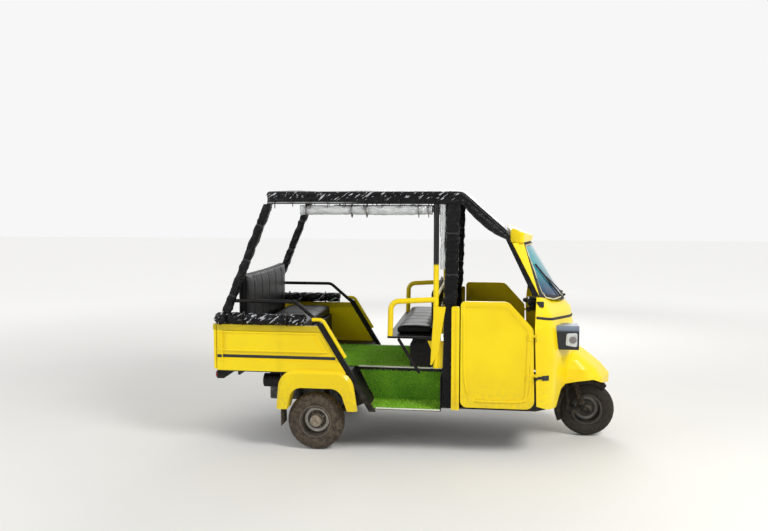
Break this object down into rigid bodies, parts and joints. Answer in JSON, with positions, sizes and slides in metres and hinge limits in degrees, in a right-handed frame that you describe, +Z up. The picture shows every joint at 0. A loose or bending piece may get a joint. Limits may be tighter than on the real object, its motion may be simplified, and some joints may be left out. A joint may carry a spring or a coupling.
{
  "type": "auto rickshaw",
  "caption": "Passenger auto rickshaw with a vinyl roof, open stepped sides, facing bench seats, low cab doors, a rear tailgate and a steered front wheel.",
  "frame": {"origin": "on the ground under the centre of the vehicle's box", "axes": "+X forward, +Y to the vehicle's left, +Z up"},
  "size_m": [2.9, 1.36, 1.848],
  "materials": {
    "body_yellow": "glossy yellow paint",
    "frame_black": "satin black paint",
    "roof_vinyl": "glossy black vinyl sheet",
    "seat_vinyl": "black vinyl upholstery",
    "deck_grass": "green artificial grass mat",
    "trim_white": "white edge trim",
    "tyre": "dusty rubber",
    "rim_steel": "dusty painted steel",
    "screen_glass": "teal tinted",
    "screen_seal": "rubber seal",
    "lamp_clear": "clear fluted lens",
    "lamp_black": "gloss black housing",
    "lamp_red": "red lens",
    "curtain_clear": "clear rolled sheet",
    "engine_grey": "oily castings",
    "muffler_steel": "heat-stained steel",
    "flap_rubber": "dusty rubber"
  },
  "bodies": {
    "body": {"box_rolls": "roof_vinyl", "box_sides": "body_yellow", "cab_corners": "body_yellow", "cab_floor": "frame_black", "chassis_frame": "frame_black", "cowl_panel": "body_yellow", "deck": "frame_black", "driver_seat_cushions": "seat_vinyl", "edge_nosing": "trim_white", "engine_block": "engine_grey", "fixed_hinges": "frame_black", "floor_mats": "deck_grass", "front_bulkhead": "body_yellow", "grab_rails": "body_yellow", "headlamp_lenses": "lamp_clear", "headlamp_shells": "lamp_black", "jump_seat_cushions": "seat_vinyl", "jump_seat_frame": "frame_black", "mudflaps": "flap_rubber", "muffler": "muffler_steel", "rear_fenders": "body_yellow", "rear_seat_cushions": "seat_vinyl", "rear_suspension": "frame_black", "roof_cover": "roof_vinyl", "roof_frame": "frame_black", "roof_pillars": "roof_vinyl", "screen_surround": "body_yellow", "seat_boxes": "frame_black", "side_curtains": "curtain_clear", "side_struts": "frame_black", "step_wells": "frame_black", "tail_lamps": "lamp_red", "visor": "body_yellow", "windscreen_frame": "screen_seal", "windscreen_glass": "screen_glass"},
    "steering": {"front_fork": "frame_black", "handlebar": "frame_black", "front_mudguard": "frame_black"},
    "front_wheel": {"tyre_front": "tyre", "rim_front": "rim_steel"},
    "rear_right_wheel": {"tyre_rear_right": "tyre", "rim_rear_right": "rim_steel"},
    "rear_left_wheel": {"tyre_rear_left": "tyre", "rim_rear_left": "rim_steel"},
    "door_right": {"door_right": "body_yellow"},
    "door_left": {"door_left": "body_yellow"},
    "tailgate": {"tailgate": "body_yellow"}
  },
  "joints": [
    {"name": "steering", "type": "hinge", "parent": "body", "child": "steering", "pos_m": [1.00224, 0, 0.66], "axis": [-0.4226, 0, 0.9063], "range_deg": [-35, 35]},
    {"name": "front_wheel_spin", "type": "hinge", "parent": "steering", "child": "front_wheel", "pos_m": [1.245, 0, 0.205], "axis": [0, 1, 0], "continuous": true},
    {"name": "rear_right_wheel_spin", "type": "hinge", "parent": "body", "child": "rear_right_wheel", "pos_m": [-0.705, -0.585, 0.205], "axis": [0, 1, 0], "continuous": true},
    {"name": "rear_left_wheel_spin", "type": "hinge", "parent": "body", "child": "rear_left_wheel", "pos_m": [-0.705, 0.585, 0.205], "axis": [0, 1, 0], "continuous": true},
    {"name": "door_right_swing", "type": "hinge", "parent": "body", "child": "door_right", "pos_m": [0.829, -0.662, 0.58], "axis": [0, 0, 1], "range_deg": [0, 70]},
    {"name": "door_left_swing", "type": "hinge", "parent": "body", "child": "door_left", "pos_m": [0.829, 0.662, 0.58], "axis": [0, 0, -1], "range_deg": [0, 70]},
    {"name": "tailgate_drop", "type": "hinge", "parent": "body", "child": "tailgate", "pos_m": [-1.44, 0, 0.556], "axis": [0, -1, 0], "range_deg": [0, 90]}
  ]
}
